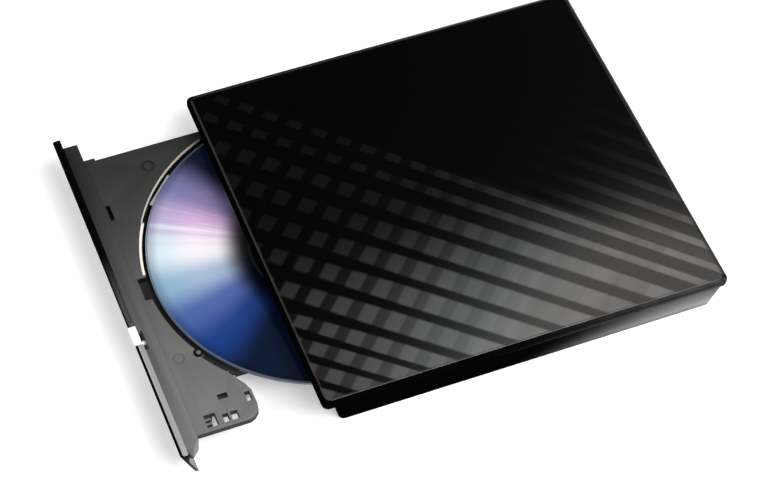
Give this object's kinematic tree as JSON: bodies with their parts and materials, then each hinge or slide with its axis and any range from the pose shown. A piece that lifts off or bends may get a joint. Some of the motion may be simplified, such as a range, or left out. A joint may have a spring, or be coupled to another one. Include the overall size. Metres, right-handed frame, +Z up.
{
  "type": "external optical drive",
  "caption": "Flat gloss-black external optical drive with a bevelled lid and a slim tray, part open, holding a disc on a spindle above a lens sled.",
  "frame": {"origin": "centre of the footprint of case and part-open tray, on the plane that the feet stand on", "axes": "+Z up; -Y the way the tray comes out; +X to the right as seen from the front"},
  "size_m": [0.1424, 0.2026, 0.0204],
  "materials": {
    "lid_black": "gloss, woven stripe pattern",
    "shell_black": "gloss",
    "bezel_black": "gloss",
    "feet_rubber": "matt",
    "screw_steel": "zinc plated",
    "foam": "open foam",
    "circuit_green": "solder mask",
    "chip_black": "moulded",
    "socket_steel": "nickel plated",
    "socket_insulator": "moulded",
    "drive_steel": "plated sheet",
    "flex_film": "film",
    "guide_plastic": "slick",
    "rail_steel": "plated",
    "tray_grey": "fine spark texture",
    "beam_grey": "satin",
    "bright_trim": "bright",
    "button_white": "bright silver coat",
    "clear_pipe": "clear",
    "lamp": "clear",
    "frame_steel": "zinc plated",
    "damper_rubber": "soft",
    "rod_steel": "ground",
    "motor_steel": "pressed",
    "stator": "laminations and windings",
    "clamp_black": "moulded",
    "disc": "iridescent data side",
    "sled_metal": "die cast",
    "lens_glass": "coated"
  },
  "bodies": {
    "case": {"bottom_shell": "shell_black", "top_cover": "lid_black", "rubber_feet": "feet_rubber", "case_screws": "screw_steel", "cushion_strips": "foam", "bridge_board": "circuit_green", "bridge_parts": "chip_black", "bridge_screws": "screw_steel", "usb_socket": "socket_steel", "usb_tongue": "socket_insulator", "sata_socket": "socket_insulator", "drive_chassis": "drive_steel", "drive_cover": "drive_steel", "cover_screws": "screw_steel", "connector_board": "circuit_green", "sata_plug": "socket_insulator", "flex_cable": "flex_film", "slide_guide_right": "guide_plastic", "slide_guide_left": "guide_plastic"},
    "rail_right": {"slide_rail_right": "rail_steel"},
    "rail_left": {"slide_rail_left": "rail_steel"},
    "tray": {"tray_body": "tray_grey", "front_bezel": "bezel_black", "chrome_strip": "bright_trim", "bezel_beam": "beam_grey", "light_pipe": "clear_pipe", "front_board": "circuit_green", "eject_switch": "chip_black", "activity_lamp": "lamp", "traverse_frame": "frame_steel", "dampers": "damper_rubber", "damper_screws": "screw_steel", "guide_rods": "rod_steel", "sled_motor": "motor_steel", "spindle_base": "frame_steel", "stator_core": "stator", "latch_solenoid": "chip_black", "main_board": "circuit_green", "board_parts": "chip_black", "board_shield": "drive_steel"},
    "spindle": {"spindle_rotor": "motor_steel", "turntable_ring": "damper_rubber", "disc_clamp": "clamp_black", "optical_disc": "disc"},
    "pickup": {"pickup_sled": "sled_metal", "lens_cover": "clamp_black", "objective_lens": "lens_glass"},
    "lead_screw": {"lead_screw": "rod_steel"},
    "eject_button": {"eject_button": "button_white"},
    "latch": {"latch_lever": "guide_plastic"}
  },
  "joints": [
    {"name": "tray_slide", "type": "slide", "parent": "case", "child": "tray", "axis": [0, -1, 0], "range_m": [-0.0474, 0.0826]},
    {"name": "rail_right_slide", "type": "slide", "parent": "case", "child": "rail_right", "axis": [0, -1, 0], "range_m": [-0.0237, 0.0413]},
    {"name": "rail_left_slide", "type": "slide", "parent": "case", "child": "rail_left", "axis": [0, -1, 0], "range_m": [-0.0237, 0.0413]},
    {"name": "spindle_spin", "type": "hinge", "parent": "tray", "child": "spindle", "pos_m": [0, -0.0266, 0.007], "axis": [0, 0, 1], "continuous": true},
    {"name": "sled_slide", "type": "slide", "parent": "tray", "child": "pickup", "axis": [-0.7071, -0.7071, 0], "range_m": [-0.007, 0.028]},
    {"name": "lead_screw_turn", "type": "hinge", "parent": "tray", "child": "lead_screw", "pos_m": [0.01167, -0.03827, 0.0048], "axis": [-0.7071, -0.7071, 0], "range_deg": [-850, 3370]},
    {"name": "eject_press", "type": "slide", "parent": "tray", "child": "eject_button", "axis": [0, 1, 0], "range_m": [0, 0.0008], "stiffness_N_per_m": 800, "springref_m": -0.0004},
    {"name": "latch_turn", "type": "hinge", "parent": "tray", "child": "latch", "pos_m": [0.05, -0.0788, 0.0057], "axis": [0, 0, 1], "range_deg": [0, 12]}
  ],
  "couplings": [
    {"joint": "rail_right_slide", "follows": "tray_slide", "ratio": 0.5},
    {"joint": "rail_left_slide", "follows": "tray_slide", "ratio": 0.5},
    {"joint": "lead_screw_turn", "follows": "sled_slide", "rad_per_m": 2094.4}
  ]
}
